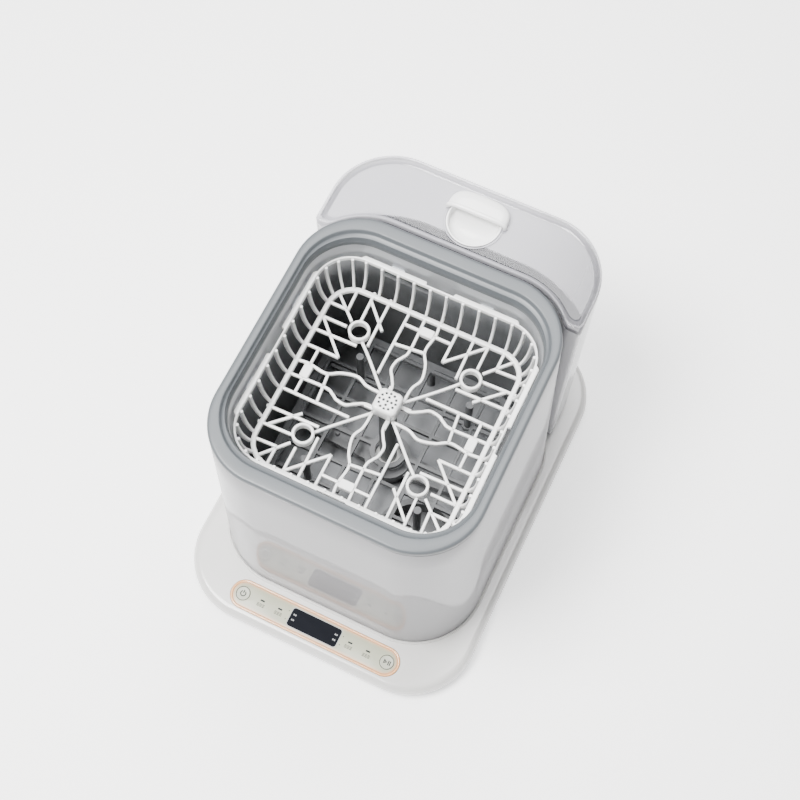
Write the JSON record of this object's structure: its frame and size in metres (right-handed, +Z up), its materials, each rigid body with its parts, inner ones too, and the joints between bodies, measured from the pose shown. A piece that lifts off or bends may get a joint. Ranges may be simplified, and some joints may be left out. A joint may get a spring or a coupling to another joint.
{
  "type": "baby bottle washer",
  "caption": "Tabletop washer with a tapered white body on a wide base, open tub with ribbed basket and rack, spray arm, front touch panel and a crescent water tank behind.",
  "frame": {"origin": "on the standing surface, under the middle of the base", "axes": "+Z up, -Y towards the control panel, +Y towards the water tank, +X to the right as seen from the panel"},
  "size_m": [0.29, 0.397, 0.277],
  "materials": {
    "white_gloss": "glossy, very slightly warm white",
    "wall_gloss": "deep gloss white wall",
    "rim_grey": "satin cool grey",
    "panel_grey": "satin pale grey-green",
    "amber_clear": "glossy translucent amber",
    "smoked_clear": "glossy smoked display",
    "light_bar": "unlit diffuse lens",
    "button_grey": "satin pale grey",
    "board_green": "satin solder mask",
    "black_plastic": "matt black",
    "grey_plastic": "matt mid grey",
    "foot_rubber": "matt",
    "seal_rubber": "matt pale silicone",
    "screw_steel": "zinc plated",
    "tub_steel": "drawn, satin",
    "steel": "satin",
    "bearing_white": "self-lubricating plastic",
    "basket_white": "satin white",
    "rack_grey": "satin grey",
    "tank_clear": "milky translucent",
    "lid_clear": "milky translucent, glossy",
    "motor_can": "zinc plated can",
    "filter_foam": "pleated fibre"
  },
  "bodies": {
    "base": {"base_pan": "grey_plastic", "base_deck": "white_gloss", "control_fascia": "panel_grey", "amber_bezel": "amber_clear", "display_window": "smoked_clear", "indicator_lenses": "light_bar", "panel_board": "board_green", "tact_switches": "black_plastic", "display_module": "black_plastic", "panel_board_pegs": "grey_plastic", "rubber_feet": "foot_rubber", "base_screws": "screw_steel", "body_shell": "wall_gloss", "rim_frame": "rim_grey", "rim_seal": "seal_rubber", "wash_tub": "tub_steel", "sump_cup": "grey_plastic", "pump_feed_pipe": "grey_plastic", "riser_pipe": "grey_plastic", "arm_bearing": "bearing_white", "arm_retainer": "bearing_white", "pump_volute": "grey_plastic", "wash_motor": "motor_can", "wash_heater": "steel", "water_sensor": "black_plastic", "drain_pump": "grey_plastic", "drain_hose": "seal_rubber", "drain_port": "grey_plastic", "blower_housing": "black_plastic", "blower_motor": "motor_can", "drying_heater": "steel", "air_duct": "grey_plastic", "control_board": "board_green", "board_cover": "black_plastic", "power_inlet": "black_plastic", "tank_dock": "grey_plastic", "tank_pads": "foot_rubber", "fresh_pump": "grey_plastic", "fill_pipe": "seal_rubber", "fresh_hose": "seal_rubber"},
    "power_button": {"power_button": "button_grey"},
    "start_pause_button": {"start_pause_button": "button_grey"},
    "basket": {"basket_rim": "basket_white", "basket_walls": "basket_white", "basket_floor": "basket_white", "spray_cap": "basket_white"},
    "rack": {"lower_rack": "rack_grey", "rack_posts": "rack_grey"},
    "spray_arm": {"spray_arm": "grey_plastic"},
    "pump_impeller": {"pump_impeller": "grey_plastic"},
    "drain_impeller": {"drain_impeller": "black_plastic"},
    "blower_wheel": {"blower_wheel": "black_plastic"},
    "sump_filter": {"sump_filter": "steel"},
    "tank": {"water_tank": "tank_clear", "tank_valve_body": "grey_plastic", "tank_valve_spring": "steel", "tank_shelf": "lid_clear"},
    "tank_lid": {"tank_lid": "lid_clear", "tank_lid_seal": "seal_rubber", "tank_grip": "white_gloss"},
    "valve_poppet": {"tank_valve_poppet": "bearing_white"},
    "filter_drawer": {"air_filter_drawer": "white_gloss", "air_filter_pad": "filter_foam"}
  },
  "joints": [
    {"name": "power_press", "type": "slide", "parent": "base", "child": "power_button", "axis": [0, 0, -1], "range_m": [0, 0.0008], "stiffness_N_per_m": 300, "springref_m": -0.0006},
    {"name": "start_press", "type": "slide", "parent": "base", "child": "start_pause_button", "axis": [0, 0, -1], "range_m": [0, 0.0008], "stiffness_N_per_m": 300, "springref_m": -0.0006},
    {"name": "basket_lift", "type": "slide", "parent": "base", "child": "basket", "axis": [0, 0, 1], "range_m": [0, 0.075]},
    {"name": "rack_lift", "type": "slide", "parent": "base", "child": "rack", "axis": [0, 0, 1], "range_m": [0, 0.04]},
    {"name": "arm_spin", "type": "hinge", "parent": "base", "child": "spray_arm", "pos_m": [0, -0.015, 0.089], "axis": [0, 0, 1], "continuous": true},
    {"name": "wash_pump_spin", "type": "hinge", "parent": "base", "child": "pump_impeller", "pos_m": [0, -0.015, 0.043], "axis": [0, 0, 1], "continuous": true},
    {"name": "drain_pump_spin", "type": "hinge", "parent": "base", "child": "drain_impeller", "pos_m": [0.092, 0.022, 0.034], "axis": [0, 0, 1], "continuous": true},
    {"name": "blower_spin", "type": "hinge", "parent": "base", "child": "blower_wheel", "pos_m": [-0.072, 0.044, 0.038], "axis": [0, 0, 1], "continuous": true},
    {"name": "filter_turn", "type": "hinge", "parent": "base", "child": "sump_filter", "pos_m": [0.056, -0.071, 0.06], "axis": [0, 0, 1], "range_deg": [0, 45]},
    {"name": "tank_lift", "type": "slide", "parent": "base", "child": "tank", "axis": [0, 0, 1], "range_m": [0, 0.06]},
    {"name": "tank_lid_lift", "type": "slide", "parent": "tank", "child": "tank_lid", "axis": [0, 0, 1], "range_m": [0, 0.03]},
    {"name": "valve_lift", "type": "slide", "parent": "tank", "child": "valve_poppet", "axis": [0, 0, 1], "range_m": [0, 0.003], "stiffness_N_per_m": 400, "springref_m": -0.001, "deforming": ["tank_valve_spring"]},
    {"name": "filter_pull", "type": "slide", "parent": "base", "child": "filter_drawer", "axis": [0, 1, 0], "range_m": [0, 0.05]}
  ]
}
